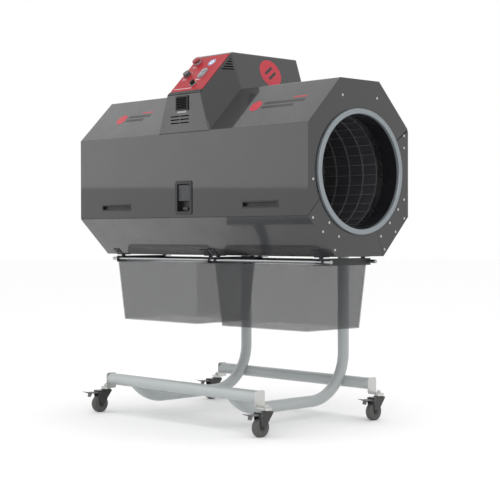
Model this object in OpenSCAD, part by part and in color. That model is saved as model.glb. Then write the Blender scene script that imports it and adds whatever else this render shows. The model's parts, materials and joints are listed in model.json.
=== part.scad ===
// Rotary drum sifter on a wheeled stand: an octagonal sheet-metal housing with a turning drum,
// a lifting hood with a control box, two sliding collecting bins and a C-shaped tube stand.
// Millimetres. +Z is up and the floor is Z = 0. X runs along the drum, -Y is the operator's side.
// The origin is on the floor in the middle of the footprint.

/* [Housing] */
// Length of the housing along the drum
body_len = 1440; // [1150:10:1800]
// Width of the housing over its vertical walls
body_w = 594; // [580:2:720]
// Height of the housing over its flats
body_h = 700; // [690:5:860]
// Width of the top flat
top_flat = 232; // [190:2:290]
// Width of the bottom flat
bottom_flat = 284; // [230:2:345]
// Height of the lower corners above the bottom flat
lower_corner = 159; // [130:1:190]
// Height of the upper corners above the bottom flat
upper_corner = 516; // [480:2:560]
// Height of the bottom flat above the floor
ground_gap = 700; // [560:10:850]
// Thickness of the housing sheets
sheet = 2; // [1.5:0.5:2.5]
// Thickness of the end plates
end_plate = 3; // [2:0.5:4]
// Width of the seam between the hood and the fixed housing
seam = 3; // [2:0.5:4]

/* [Drum and ports] */
// Height of the drum axis above the bottom flat
axis_height = 336; // [330:1:350]
// Inner radius of the port rings
port_r = 228; // [190:1:232]
// Face width of the port rings
port_face = 21; // [16:1:24]
// How far the port rings stand out of the end plates
port_proud = 12; // [8:1:16]
// Depth of the port collars behind the end plates
collar_depth = 75; // [60:1:90]
// Inner radius of the drum cage
cage_r = 236; // [234:1:238]
// Number of hoops in the drum cage
hoop_count = 17; // [13:1:21]
// Number of bars in the drum cage
bar_count = 36; // [24:2:40]
// Width of the roller tracks at the drum's ends
track_w = 45; // [38:1:55]
// Outer radius of the roller tracks
track_r = 250; // [249:1:252]

/* [Drive] */
// Radius of the support rollers
roller_r = 25; // [22:1:27]
// Width of the support rollers
roller_w = 30; // [24:1:34]
// Angle of the roller shafts from straight down
roller_angle = 40; // [36:1:43]
// Radius of the roller shafts
shaft_r = 8; // [6:0.5:10]
// Radius of the drive pulleys
pulley_r = 18; // [15:1:19]
// Width of the drive pulleys
pulley_w = 14; // [10:1:15]
// Radius of the gear motor
motor_r = 32; // [26:1:34]
// Length of the gear motor
motor_len = 200; // [150:5:240]

/* [Hood] */
// Radius of the hinge knuckles
knuckle_r = 6; // [5:0.5:7]
// Radius of the hinge pins
hinge_pin_r = 2.5; // [2:0.25:3]
// Width of the latch plate
latch_w = 106; // [90:2:120]
// Height of the latch plate
latch_h = 142; // [120:2:150]
// Height of the middle of the latch above the bottom flat
latch_z = 243; // [240:1:260]
// Width of the finger pulls
pull_w = 206; // [160:2:240]
// Height of the finger pulls
pull_h = 30; // [24:1:36]
// Distance of each finger pull from the middle
pull_x = 457; // [380:1:500]

/* [Control box] */
// Width of the control box at the housing's surface
box_base_w = 321; // [280:1:380]
// Width of the control box at its top
box_top_w = 212; // [190:1:240]
// Height of the control box above the top flat
box_h = 160; // [140:2:190]
// Reach of the control box behind the drum axis
box_rear = 271; // [240:1:280]
// Radius of the stop button's head
stop_r = 20; // [16:1:22]
// Radius of the speed knob
speed_r = 16; // [12:1:18]

/* [Bins] */
// Length of each bin at its top
bin_len = 546; // [480:2:560]
// Width of each bin at its top
bin_w = 360; // [320:2:400]
// Depth of each bin
bin_depth = 268; // [200:2:320]
// How far each bin wall leans in
bin_taper = 22; // [10:1:30]
// Thickness of the bin walls
bin_wall = 3; // [2:0.5:4]
// Radius of the bins' upright corners at the rim
bin_corner = 12; // [10:1:30]
// Distance between the middles of the bins
bin_pitch = 658; // [640:2:680]
// Width of the rim flange of each bin
bin_rim = 8; // [7:1:9]

/* [Stand] */
// Outer radius of the stand tubes
tube_r = 25; // [20:1:28]
// Wall of the stand tubes
tube_wall = 2.5; // [2:0.5:4]
// Distance between the two legs
leg_pitch = 614; // [480:2:700]
// Gap between the legs and the rear wall
leg_gap = 35; // [24:1:44]
// Height of the legs' floor runs
run_z = 76; // [66:1:88]
// Radius of the legs' bends
bend_r = 200; // [160:5:220]
// Height of the leg tops above the bottom flat
leg_top = 420; // [400:5:450]
// Height of the cross tubes
cross_z = 149; // [140:1:160]
// Half length of the cross tubes
cross_half = 472; // [400:2:560]
// Distance of the front cross tube in front of the drum axis
front_reach = 315; // [280:1:380]
// Distance of the rear cross tube behind the drum axis
rear_reach = 354; // [335:1:370]

/* [Casters] */
// Radius of the caster wheels
wheel_r = 37.5; // [30:0.5:40]
// Width of the caster wheels
wheel_w = 28; // [22:1:32]
// Trail of the caster wheels
trail = 35; // [28:1:38]
// Distance of the caster stems outside the cross tubes
stem_out = 41; // [36:1:48]

/* [Hidden] */
$fn = 64;
gap = 0.3;          // between faces that move past each other
fit = 0.05;         // radial clearance of a pin or a shaft in its hole
eps = 0.01;
inf = 4000;

// Stand, measured from the drum axis
leg_r = tube_r - 0.5;    // a little thinner than the cross tubes that it is notched round
leg_y = body_w / 2 + leg_gap + leg_r;
rear_bend_y = leg_y - bend_r;
bend_z = run_z + bend_r;
// The front bend turns up towards the middle of the front cross tube and ends just short of it
meet_angle = acos((bend_z - cross_z) / bend_r);
front_bend_y = bend_r * sin(meet_angle) - front_reach;
front_angle = meet_angle - 1.5;
pedal_reach = 120;
stem_x = cross_half + stem_out;
plate_half = tube_r + 1;
// The footprint's middle is Y = 0, so this is where the drum axis is
axis_y = (front_reach + pedal_reach - rear_reach - plate_half) / 2;

// Housing: corners as [y from the axis, z from the bottom flat], clockwise seen from +X
half_w = body_w / 2;
corners = [
    [-bottom_flat / 2, 0], [-half_w, lower_corner], [-half_w, upper_corner], [-top_flat / 2, body_h],
    [top_flat / 2, body_h], [half_w, upper_corner], [half_w, lower_corner], [bottom_flat / 2, 0]];
plate_in = body_len / 2 - end_plate;
ring_out_r = port_r + port_face;
hole_r = ring_out_r + 4;
low_angle = atan2(lower_corner, half_w - bottom_flat / 2);
top_angle = atan2(body_h - upper_corner, half_w - top_flat / 2);
hinge_y = half_w + knuckle_r + gap;
hinge_z = upper_corner;
hinge_angle = atan2(hinge_z - axis_height, hinge_y);

// Drum
collar_r = port_r + 4;
drum_half = plate_in - collar_depth + 8;
cage_half = drum_half - track_w;
hoop_t = 4;
bar_t = 4;
screen_r = cage_r + hoop_t + bar_t + 0.5;
roller_dist = track_r + roller_r + gap;
roller_y = roller_dist * sin(roller_angle);
roller_z = axis_height - roller_dist * cos(roller_angle);
bearing_x = plate_in - 27;
pulley_x = -(drum_half + 4 + pulley_w / 2);
motor_y = roller_y + 63;
motor_z = roller_z + 45;
belt_t = 3;

// Rails under the housing
rail_r = 7.5;
rail_y = 132;
rail_half = 688;
runner_out = 648;
runner_y = 146;
runner_t = 3;
runner_top = -8;
runner_low = -36;
ledge_top = runner_low + runner_t;
bin_top = ledge_top + gap + bin_wall;
rail_drop = -bin_top - rail_r - 1;
bin_x = bin_pitch / 2;
ledge_in_end = bin_x + bin_len / 2 + 2;
ledge_in_mid = bin_x - bin_len / 2 - 2;

// Control box
box_skin = 2;
panel_up = box_h * cos(top_angle);
panel_len = (half_w - top_flat / 2) / cos(top_angle);
panel_t = 2;
stop_at = [-69, 208];
speed_at = [-72, 127];
selector_at = [14, 62];
pair_at = [24, 128];
pair_w = 36;
pair_h = 60;
push_r = 11;
push_apart = 13;
stop_stem_r = 7;
knob_shaft_r = 3;
filter_w = 78;
filter_h = 62;
filter_at = [-8, 639];
inlet_at = [61, 628];
inlet_w = 41;
inlet_h = 31;

// Casters
caster_top = 2 * wheel_r + 32;
flange_t = 5;
cap_t = 6;
fork_top = caster_top - cap_t - gap;
fork_cap = 8;
stem_r = 5;
axle_r = 4;
cheek_t = 3;
cheek_in = wheel_w / 2 + 2;
pedal_y = -trail - 8;
pedal_z = fork_top - fork_cap - 6;
pedal_pin = 2.5;

// ---- helpers ----

// Moves children from [x, y from the drum axis, z from the bottom flat] to their place
module housing() {
    translate([0, axis_y, ground_gap]) children();
}

// Extrudes a [y, z] outline along X from x1 to x2
module along_x(x1, x2) {
    translate([x1, 0, 0]) rotate([90, 0, 90]) linear_extrude(x2 - x1) children();
}

// Extrudes an [x, z] outline along Y from y1 to y2
module along_y(y1, y2) {
    translate([0, y2, 0]) rotate([90, 0, 0]) linear_extrude(y2 - y1) children();
}

// A cylinder along X between x1 and x2
module rod_x(r, x1, x2, y = 0, z = 0) {
    translate([x1, y, z]) rotate([0, 90, 0]) cylinder(r = r, h = x2 - x1);
}

module ring_x(r_out, r_in, x1, x2) {
    difference() {
        rod_x(r_out, x1, x2);
        rod_x(r_in, x1 - 1, x2 + 1);
    }
}

module both_ends() {
    children();
    mirror([1, 0, 0]) children();
}

module front_and_rear() {
    children();
    mirror([0, 1, 0]) children();
}

module rounded_rect(w, h, r) {
    square([w - 2 * r, h], center = true);
    square([w, h - 2 * r], center = true);
    for (x = [-1, 1], y = [-1, 1]) translate([x * (w / 2 - r), y * (h / 2 - r)]) circle(r);
}

function unit(v) = v / norm(v);
function inward(a, b) = let (d = unit(b - a)) [d[1], -d[0]];
// Corner i of the housing outline, moved inwards by t
function corner(i, t) =
    let (p = corners[i],
         n1 = inward(corners[(i + 7) % 8], p),
         n2 = inward(p, corners[(i + 1) % 8]))
    p + (n1 + n2) * t / (1 + n1 * n2);
// A point part of the way from corner i towards corner j, moved inwards by t
function towards(i, j, d, t) = corner(i, t) + unit(corners[j] - corners[i]) * d;

// Ends of the end-plate seams where they reach the port
seam_front = [-230 / 253 * hole_r, axis_height - 109 / 253 * hole_r];
seam_rear = [hole_r * cos(-67), axis_height + hole_r * sin(-67)];
seam_hinge = [hole_r * cos(hinge_angle), axis_height + hole_r * sin(hinge_angle)];
axis_point = [0, axis_height];

// ---- stand ----

module leg(side, r) {
    x = side * leg_pitch / 2;
    translate([x, leg_y, bend_z]) cylinder(r = r, h = ground_gap + leg_top - bend_z);
    translate([x, rear_bend_y, bend_z]) rotate([90, 0, 90]) rotate([0, 0, -90])
        rotate_extrude(angle = 90) translate([bend_r, 0]) circle(r);
    translate([x, front_bend_y, run_z]) rotate([-90, 0, 0]) cylinder(r = r, h = rear_bend_y - front_bend_y);
    translate([x, front_bend_y, bend_z]) rotate([90, 0, 90]) difference() {
        rotate([0, 0, 180]) rotate_extrude(angle = 90) translate([bend_r, 0]) circle(r);
        rotate([0, 0, 270 - front_angle]) translate([-inf / 2, -inf, -tube_r]) cube([inf, inf, 2 * tube_r]);
    }
}

// A leg, notched round both cross tubes and closed at its top
module leg_tube(side) {
    translate([0, axis_y, 0]) difference() {
        leg(side, leg_r);
        difference() {
            leg(side, leg_r - tube_wall);
            translate([-inf / 2, 0, ground_gap + leg_top - 4]) cube([inf, inf, inf]);
        }
        rod_x(tube_r, -cross_half, cross_half, -front_reach, cross_z);
        rod_x(tube_r, -cross_half, cross_half, rear_reach, cross_z);
    }
}

module leg_left() {
    color("silver") leg_tube(-1);
}

module leg_right() {
    color("silver") leg_tube(1);
}

module cross_tube(y) {
    translate([0, axis_y + y, cross_z]) ring_x(tube_r, tube_r - tube_wall, -cross_half, cross_half);
}

module front_cross_tube() {
    color("silver") cross_tube(-front_reach);
}

module rear_cross_tube() {
    color("silver") cross_tube(rear_reach);
}

// Closing plate of a tube end with the round-ended flange that carries a caster
module caster_plate() {
    plate_top = cross_z + tube_r + 2;
    plate_h = plate_top - caster_top;
    translate([0, 0, caster_top + plate_h / 2])
        along_x(cross_half, cross_half + 4) rounded_rect(2 * plate_half, plate_h, 11);
    difference() {
        union() {
            translate([cross_half, -22, caster_top]) cube([stem_out, 44, flange_t]);
            translate([stem_x, 0, caster_top]) cylinder(r = 22, h = flange_t);
        }
        translate([stem_x, 0, caster_top - 1]) cylinder(r = stem_r, h = flange_t + 2);
    }
}

// Places children at each caster: front left, front right, rear left, rear right
module at_casters() {
    for (y = [-front_reach, rear_reach]) both_ends() translate([0, axis_y + y, 0]) children();
}

module caster_plates() {
    color("silver") at_casters() caster_plate();
}

module caster_stems() {
    color("gainsboro") at_casters() translate([stem_x, 0, 0]) {
        translate([0, 0, fork_top - 7]) cylinder(r = stem_r, h = 32);
        translate([0, 0, caster_top - cap_t]) cylinder(r = 20, h = cap_t);
        translate([0, 0, caster_top + flange_t]) cylinder(r = 10.5, h = 1.5);
        translate([0, 0, caster_top + flange_t + 1.5]) cylinder(r = 9.8, h = 7, $fn = 6);
    }
}

// Clamps that hold the legs to the rear wall
module leg_clamps() {
    clamp_h = 50;
    color("dimgray") housing() both_ends() for (z = [200, 370]) {
        difference() {
            union() {
                translate([leg_pitch / 2, leg_y, z - clamp_h / 2]) cylinder(r = leg_r + 6, h = clamp_h);
                translate([leg_pitch / 2 - 32, half_w, z - clamp_h / 2])
                    cube([64, leg_gap + leg_r, clamp_h]);
                translate([leg_pitch / 2 - 60, half_w, z - clamp_h / 2]) cube([120, 5, clamp_h]);
            }
            translate([leg_pitch / 2, leg_y, z - clamp_h]) cylinder(r = leg_r, h = 2 * clamp_h);
        }
    }
}

// ---- rails and bins ----

module bin_rods() {
    color("gray") housing() front_and_rear() rod_x(rail_r, -rail_half, rail_half, rail_y, -rail_drop);
}

// Outline of an end runner in [x, z]: a channel that opens towards its bin
module end_channel() {
    difference() {
        translate([ledge_in_end, runner_low]) square([runner_out - ledge_in_end, runner_top - runner_low]);
        translate([ledge_in_end - 1, ledge_top])
            square([runner_out - ledge_in_end - runner_t + 1, runner_top - runner_t - ledge_top]);
    }
}

// Outline of the middle runner in [x, z]: two channels back to back
module middle_channel() {
    wide = 2 * ledge_in_mid;
    translate([-ledge_in_mid, runner_low]) square([wide, runner_t]);
    translate([-ledge_in_mid, runner_top - runner_t]) square([wide, runner_t]);
    translate([-20, runner_low]) square([runner_t, runner_top - runner_low]);
    translate([20 - runner_t, runner_low]) square([runner_t, runner_top - runner_low]);
}

module bin_runners() {
    color("dimgray") housing() difference() {
        union() {
            both_ends() along_y(-runner_y, runner_y) end_channel();
            along_y(-runner_y, runner_y) middle_channel();
        }
        front_and_rear() rod_x(rail_r, -rail_half, rail_half, rail_y, -rail_drop);
    }
}

// Bent brackets that carry the runners from the lower chamfers
module rod_brackets() {
    leg_len = 34;
    foot = 46;
    t = 3;
    c = corners[7];
    up = unit(corners[6] - corners[7]);
    out = [up[1], -up[0]];
    bend = c + [t * tan(low_angle / 2), -t];
    color("black") housing() front_and_rear() for (x = [-626, -24, 24, 626]) {
        along_x(x - 20, x + 20) polygon([
            c, c + up * leg_len, c + up * leg_len + out * t, bend, c + [-foot, -t], c + [-foot, 0]]);
        translate([x, runner_y - 22, runner_top]) cylinder(r = 9, h = -runner_top - t);
        translate([x, c[0] + up[0] * 20 + out[0] * t, c[1] + up[1] * 20 + out[1] * t])
            rotate([180 + low_angle, 0, 0]) cylinder(r = 7, h = 5, $fn = 6);
    }
}

// A bin's shape with its walls leaning in: w by d at the top, r the radius of the corners there
module bin_body(w, d, r, z_low, z_top) {
    r_low = r - 4;
    hull() {
        for (x = [-1, 1], y = [-1, 1]) {
            translate([x * (w / 2 - r), y * (d / 2 - r), z_top - eps]) cylinder(r = r, h = eps, $fn = 32);
            translate([x * (w / 2 - bin_taper - r_low), y * (d / 2 - bin_taper - r_low), z_low])
                cylinder(r = r_low, h = eps, $fn = 32);
        }
    }
}

module bin(side) {
    low = bin_top - bin_depth;
    color("slategray", 0.6) housing() translate([side * bin_x, 0, 0]) difference() {
        union() {
            bin_body(bin_len, bin_w, bin_corner, low, bin_top);
            translate([0, 0, bin_top - bin_wall]) linear_extrude(bin_wall)
                rounded_rect(bin_len + 2 * bin_rim, bin_w + 2 * bin_rim, bin_corner + bin_rim);
        }
        bin_body(bin_len - 2 * bin_wall, bin_w - 2 * bin_wall, bin_corner - bin_wall,
            low + bin_wall, bin_top + 1);
    }
}

module bin_left() {
    bin(-1);
}

module bin_right() {
    bin(1);
}

// ---- fixed housing ----

// A strip of the housing's skin through the listed corners
module skin(list) {
    along_x(-plate_in, plate_in) polygon(concat(
        [for (i = list) corner(i, 0)],
        [for (k = [len(list) - 1 : -1 : 0]) corner(list[k], sheet)]));
}

module tray_shell() {
    lip_y = -half_w + 3 * sheet;
    lip_z = lower_corner - 3 * sheet;
    color("dimgray") housing() {
        difference() {
            skin([1, 0, 7]);
            // Outlets above the bins
            for (side = [-1, 1]) translate([side * bin_x, 0, 0])
                cube([bin_len - 80, bottom_flat - 50, 6 * sheet], center = true);
        }
        along_x(-plate_in, plate_in) polygon([
            [lip_y, lip_z], [lip_y, lower_corner + 22], [lip_y + sheet, lower_corner + 22],
            [lip_y + sheet, lip_z]]);
    }
}

module rear_shell() {
    color("dimgray") housing() skin([7, 6, 5]);
}

// The two fixed pieces of each end plate: below the port, and behind it
module base_ends() {
    c = corners;
    shift = 0.6;
    color("dimgray") housing() both_ends() along_x(plate_in, plate_in + end_plate) {
        difference() {
            polygon([c[1], c[0], c[7] - [shift, 0], seam_rear - [shift, 0], axis_point, seam_front]);
            translate(axis_point) circle(hole_r, $fn = 128);
        }
        difference() {
            polygon([c[7] + [shift, 0], c[6], c[5] - [0, seam], seam_hinge - [0, seam], axis_point,
                seam_rear + [shift, 0]]);
            translate(axis_point) circle(hole_r, $fn = 128);
        }
    }
}

// Rounded face ring of a port, with its outline as [radius, distance out from the end plate]
module port_ring() {
    round_r = 4;
    housing() translate([plate_in, 0, axis_height]) rotate([0, 90, 0]) rotate_extrude($fn = 128) {
        depth = end_plate + port_proud;
        translate([port_r, 0]) square([port_face, depth - round_r]);
        translate([port_r + round_r, 0]) square([port_face - 2 * round_r, depth]);
        for (r = [port_r + round_r, port_r + port_face - round_r])
            translate([r, depth - round_r]) circle(round_r);
    }
}

module port_ring_right() {
    color("darkgray") port_ring();
}

module port_ring_left() {
    color("darkgray") mirror([1, 0, 0]) port_ring();
}

// Sleeves that lead into the drum, with the flanges that carry the port rings
module port_collars() {
    flange_r = hole_r + 10;
    color("dimgray") housing() both_ends() translate([0, 0, axis_height]) {
        ring_x(collar_r, port_r + 1, plate_in - collar_depth, plate_in);
        ring_x(flange_r, port_r + 1, plate_in - 3 - gap, plate_in - gap);
    }
}

// Rivets and screws of the fixed housing, as [y, z] on the end plates
rivet_spots = [[271, 153], [180, 134], [215, 98.5], [125, 80], [147, 27.5]];
rear_rivets = [[270, 230], [232, 189], [270, 441], [270, 491]];
module rivet() {
    rotate([0, 90, 0]) cylinder(r = 5, h = 1.5);
    translate([1.5, 0, 0]) rotate([0, 90, 0]) cylinder(r = 3.5, h = 1.2);
}

module base_fasteners() {
    color("lightgray") housing() {
        both_ends() {
            for (p = rivet_spots) front_and_rear() translate([body_len / 2, p[0], p[1]]) rivet();
            for (p = rear_rivets) translate([body_len / 2, p[0], p[1]]) rivet();
        }
        // Clamp bolts on the leg clamps
        both_ends() for (z = [200, 370], s = [-48, 48])
            translate([leg_pitch / 2 + s, half_w + 5, z]) rotate([-90, 0, 0]) cylinder(r = 7, h = 5, $fn = 6);
    }
}

// ---- hood ----

module hood_shell() {
    outer = concat([towards(5, 4, seam, 0)], [for (i = [4, 3, 2]) corner(i, 0)],
        [[-half_w, lower_corner + seam]]);
    inner = concat([[-half_w + sheet, lower_corner + seam]], [for (i = [2, 3, 4]) corner(i, sheet)],
        [towards(5, 4, seam, sheet)]);
    color("dimgray") housing() difference() {
        along_x(-plate_in, plate_in) polygon(concat(outer, inner));
        // Window for the latch and for the finger pulls
        translate([0, -half_w, latch_z]) cube([latch_w - 22, 20, latch_h - 22], center = true);
        for (side = [-1, 1]) translate([side * pull_x, -half_w, lower_corner + 49])
            cube([pull_w - 8, 20, pull_h - 8], center = true);
    }
}

module hood_ends() {
    c = corners;
    color("dimgray") housing() both_ends() {
        along_x(plate_in, plate_in + end_plate) difference() {
            polygon([c[1] + [0, seam], seam_front + [0, seam], axis_point, seam_hinge, towards(5, 4, seam, 0),
                c[4], c[3], c[2]]);
            translate(axis_point) circle(hole_r, $fn = 128);
        }
        for (p = [[102, 632], [-102, 632], [-270, 300]]) translate([body_len / 2, p[0], p[1]]) rivet();
    }
}

// Hinge knuckles along the hood's rear edge: which = 0 on the hood, 1 on the rear wall
knuckle_len = 40;
hinge_spots = [-520, 0, 520];
module knuckles(which) {
    for (x = hinge_spots) for (k = which == 0 ? [-1, 1] : [0])
        translate([x + k * (knuckle_len + 1) - knuckle_len / 2, hinge_y, hinge_z]) rotate([0, 90, 0])
            cylinder(r = knuckle_r, h = knuckle_len);
}

module hood_hinge_leaves() {
    t = 2;
    dir = unit(corners[4] - corners[5]);
    out = [dir[1], -dir[0]];
    start = corners[5] + dir * seam;
    color("gray") housing() difference() {
        union() {
            knuckles(0);
            for (x = hinge_spots) for (k = [-1, 1])
                along_x(x + k * (knuckle_len + 1) - knuckle_len / 2, x + k * (knuckle_len + 1) + knuckle_len / 2)
                    polygon([start, start + dir * 30, start + dir * 30 + out * t,
                        [hinge_y + 1, hinge_z + 5], [hinge_y, hinge_z + 1]]);
        }
        for (x = hinge_spots) rod_x(hinge_pin_r + fit, x - 70, x + 70, hinge_y, hinge_z);
    }
}

module base_hinge_leaves() {
    t = 2;
    color("gray") housing() {
        knuckles(1);
        for (x = hinge_spots) {
            rod_x(hinge_pin_r, x - 63, x + 63, hinge_y, hinge_z);
            translate([x - knuckle_len / 2, half_w, hinge_z - 40]) cube([knuckle_len, t, 40 - seam]);
            translate([x - knuckle_len / 2, half_w, hinge_z - 12]) cube([knuckle_len, knuckle_r + 2, 8]);
        }
    }
}

module pull_cups() {
    color("black") housing() for (side = [-1, 1])
        translate([side * pull_x, -half_w, lower_corner + 49]) difference() {
            union() {
                along_y(-1.2, 0) square([pull_w, pull_h], center = true);
                along_y(-1, 14) square([pull_w - 8 - 2 * gap, pull_h - 8 - 2 * gap], center = true);
            }
            along_y(-2, 12) square([pull_w - 14, pull_h - 14], center = true);
        }
}

// Latch: plate and dish in the hood, paddle hinged at its top, bolt under a fixed keeper
dish_w = latch_w - 24;
dish_h = latch_h - 24;
dish_deep = 20;
paddle_pin_z = latch_z + dish_h / 2 - 8;
paddle_h = 64;
bolt_z = latch_z - dish_h / 2 + 14;
module latch_body() {
    color("black") housing() translate([0, -half_w, latch_z]) difference() {
        union() {
            along_y(-3, 0) rounded_rect(latch_w, latch_h, 9);
            along_y(-1, dish_deep + 2) square([dish_w, dish_h], center = true);
        }
        along_y(-4, dish_deep) square([dish_w - 4, dish_h - 4], center = true);
        // Pivot holes of the paddle and the hole of the bolt
        rod_x(2 + fit, -inf, inf, 7, paddle_pin_z - latch_z);
        translate([-9, dish_deep - 1, bolt_z - latch_z - 4]) cube([18, 5, 8]);
    }
}

module latch_paddle() {
    w = dish_w - 10;
    color("dimgray") housing() translate([0, -half_w, paddle_pin_z]) {
        rod_x(2, -dish_w / 2 + 0.5, dish_w / 2 - 0.5, 7, 0);
        difference() {
            union() {
                rod_x(5, -w / 2, w / 2, 7, 0);
                translate([-w / 2, 2, -paddle_h]) cube([w, 5, paddle_h]);
            }
            translate([-w / 2 + 8, 1, -paddle_h + 8]) cube([w - 16, 2.5, paddle_h - 24]);
        }
    }
}

module latch_bolt() {
    color("silver") housing() translate([0, -half_w, bolt_z]) {
        translate([-8, 9, -3]) cube([16, 34, 6]);
        translate([-14, 9, -5]) cube([28, 5, 10]);
    }
}

// Bracket from the tray's inner lip to just under the bolt, behind the latch's dish
module latch_keeper() {
    t = 3;
    lip = 4 * sheet;
    top = bolt_z - 3 - 0.5;
    back = dish_deep + 7;
    low = lower_corner + 18;
    color("gray") housing() translate([0, -half_w, 0]) along_x(-22, 22) {
        translate([lip, lower_corner - 2]) square([t, 20 + t]);
        translate([lip, low]) square([back - lip + t, t]);
        translate([back, low]) square([t, top - low]);
        translate([back, top - t]) square([18, t]);
    }
}

// ---- control box ----

// A closed solid from the points of its right side: loop lists those round the profile, in order
// from the front over the top, and sides the faces that close it
module mirrored_solid(points, loop, sides) {
    n = len(points);
    polyhedron(
        points = concat(points, [for (p = points) [-p[0], p[1], p[2]]]),
        faces = concat(
            [for (k = [0 : len(loop) - 1]) let (a = loop[k], b = loop[(k + 1) % len(loop)])
                [a + n, b + n, b, a]],
            sides,
            [for (f = sides) [for (k = [len(f) : -1 : 1]) f[k % len(f)] + n]]));
}

// The box as a solid that stands on the housing's top flat and both upper chamfers
module box_solid() {
    rise = tan(top_angle);
    base = box_base_w / 2;
    top = box_top_w / 2;
    knee = -top_flat / 2;
    lid = body_h + box_h;
    mirrored_solid([
        [base, -half_w, upper_corner], [top, -half_w, upper_corner + box_h], [top, knee, lid],
        [top, box_rear, lid], [base, box_rear, body_h],
        [base, box_rear, upper_corner + (half_w - box_rear) * rise], [base, -knee, body_h],
        [base, knee, body_h]],
        [0, 1, 2, 3, 4, 5, 6, 7], [[0, 1, 2, 7], [2, 3, 4, 6, 7], [6, 4, 5]]);
}

// A size in whole tenths, so that four corners worked out from it stay in one plane
function tenths(size) = round(10 * size) / 10;

// The hollow inside it, which runs on down into the housing
module box_hollow() {
    rise = tan(top_angle);
    down = 1;       // its sides lean until they are this far below the housing's surface
    lean = (box_base_w - box_top_w) / 2 / box_h;
    base = tenths(box_base_w / 2 - box_skin + down * lean);
    top = tenths(box_top_w / 2 - box_skin + box_skin * lean);
    front = -half_w + box_skin;
    rear = box_rear - box_skin;
    knee = -top_flat / 2;
    lid = tenths(body_h + box_h - box_skin / cos(top_angle));
    reach = tenths((knee - front) * rise);
    floor_z = upper_corner - 20;
    mirrored_solid([
        [base, front, floor_z], [base, front, body_h - down - reach], [top, front, lid - reach],
        [top, knee, lid], [top, rear, lid], [base, rear, body_h - down], [base, rear, floor_z],
        [base, knee, body_h - down]],
        [0, 1, 2, 3, 4, 5, 6], [[1, 2, 3, 7], [7, 3, 4, 5], [0, 1, 7, 5, 6]]);
}

// Places children on the sloping panel: u across, v up the slope, +Z straight out of it
module on_panel(p) {
    housing() translate([0, -half_w, upper_corner]) rotate([top_angle, 0, 0])
        translate([p[0], panel_up * tan(top_angle) + p[1], panel_up]) children();
}

// Two columns of three vent slots on the box's front face
module front_vents() {
    for (row = [0 : 2], x = [-83, -22])
        translate([x, -half_w - 5, 555 + 14 * row]) cube([56, 20, 5]);
}

// Five vent slots on each side, each shorter than the one below it
module side_vents() {
    for (row = [0 : 4])
        translate([-inf / 2, -180 + 11 * row, 781 + 11 * row]) cube([inf, 52 - 11 * row, 5]);
}

module control_box() {
    color("dimgray") difference() {
        housing() box_solid();
        housing() {
            box_hollow();
            front_vents();
            side_vents();
            translate([filter_at[0], -half_w, filter_at[1]])
                cube([filter_w - 10, 20, filter_h - 10], center = true);
            translate([inlet_at[0], box_rear, inlet_at[1]]) cube([inlet_w + 1, 20, inlet_h + 1], center = true);
        }
        panel_holes(5);
    }
}

// Holes for the stems and shafts of the controls, with the given clearance round them
module panel_holes(clear) {
    on_panel(stop_at) translate([0, 0, -20]) cylinder(r = stop_stem_r + clear, h = 40);
    on_panel(speed_at) translate([0, 0, -20]) cylinder(r = knob_shaft_r + clear, h = 40);
    on_panel(selector_at) translate([0, 0, -20]) cylinder(r = knob_shaft_r + clear, h = 40);
    for (s = [-1, 1]) on_panel(pair_at + [0, s * push_apart])
        translate([0, 0, -20]) cylinder(r = push_r + gap, h = 40);
}

module panel_plate() {
    color("crimson") difference() {
        on_panel([0, panel_len / 2 + 4]) translate([0, 0, eps]) linear_extrude(panel_t - eps)
            rounded_rect(box_top_w - 8, panel_len - 32, 5);
        panel_holes(fit);
    }
}

// Collar of the stop button, ring of the selector and frame of the two push buttons
module button_bezels() {
    color("gray") {
        on_panel(stop_at) translate([0, 0, panel_t]) difference() {
            cylinder(r = stop_r - 5, h = 8);
            translate([0, 0, -1]) cylinder(r = stop_stem_r + fit, h = 12);
        }
        on_panel(selector_at) translate([0, 0, panel_t]) difference() {
            cylinder(r = 15, h = 3);
            translate([0, 0, -1]) cylinder(r = knob_shaft_r + fit, h = 6);
        }
        difference() {
            on_panel(pair_at) translate([0, 0, panel_t]) linear_extrude(5) {
                square([pair_w, pair_h - pair_w], center = true);
                for (s = [-1, 1]) translate([0, s * (pair_h - pair_w) / 2]) circle(pair_w / 2);
            }
            for (s = [-1, 1]) on_panel(pair_at + [0, s * push_apart]) cylinder(r = push_r + gap, h = 20);
        }
    }
}

module stop_mushroom() {
    head = 13;
    color("darkred") on_panel(stop_at) {
        translate([0, 0, -12]) cylinder(r = stop_stem_r, h = 12 + panel_t + head + 2);
        translate([0, 0, panel_t + head]) rotate_extrude() {
            square([stop_r, 6]);
            intersection() {
                translate([0, 6 - 1.6 * stop_r]) circle(sqrt(1 + 1.6 * 1.6) * stop_r);
                square([stop_r, 30]);
            }
        }
    }
}

module speed_knob() {
    color("gray") on_panel(speed_at) {
        translate([0, 0, -12]) cylinder(r = knob_shaft_r, h = 20);
        difference() {
            translate([0, 0, panel_t + gap]) cylinder(r = speed_r, h = 16);
            translate([-1, 4, panel_t + 15]) cube([2, speed_r, 4]);
        }
    }
}

module selector_knob() {
    color("black") on_panel(selector_at) {
        translate([0, 0, -12]) cylinder(r = knob_shaft_r, h = 20);
        translate([0, 0, panel_t + 3 + gap]) cylinder(r = 12, h = 6);
        translate([-3.5, -12, panel_t + 9]) cube([7, 24, 8]);
    }
}

module push_button(s) {
    on_panel(pair_at + [0, s * push_apart]) cylinder(r = push_r, h = panel_t + 9);
}

module start_button() {
    color("lightgray") push_button(1);
}

module halt_button() {
    color("lightgray") push_button(-1);
}

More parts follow.
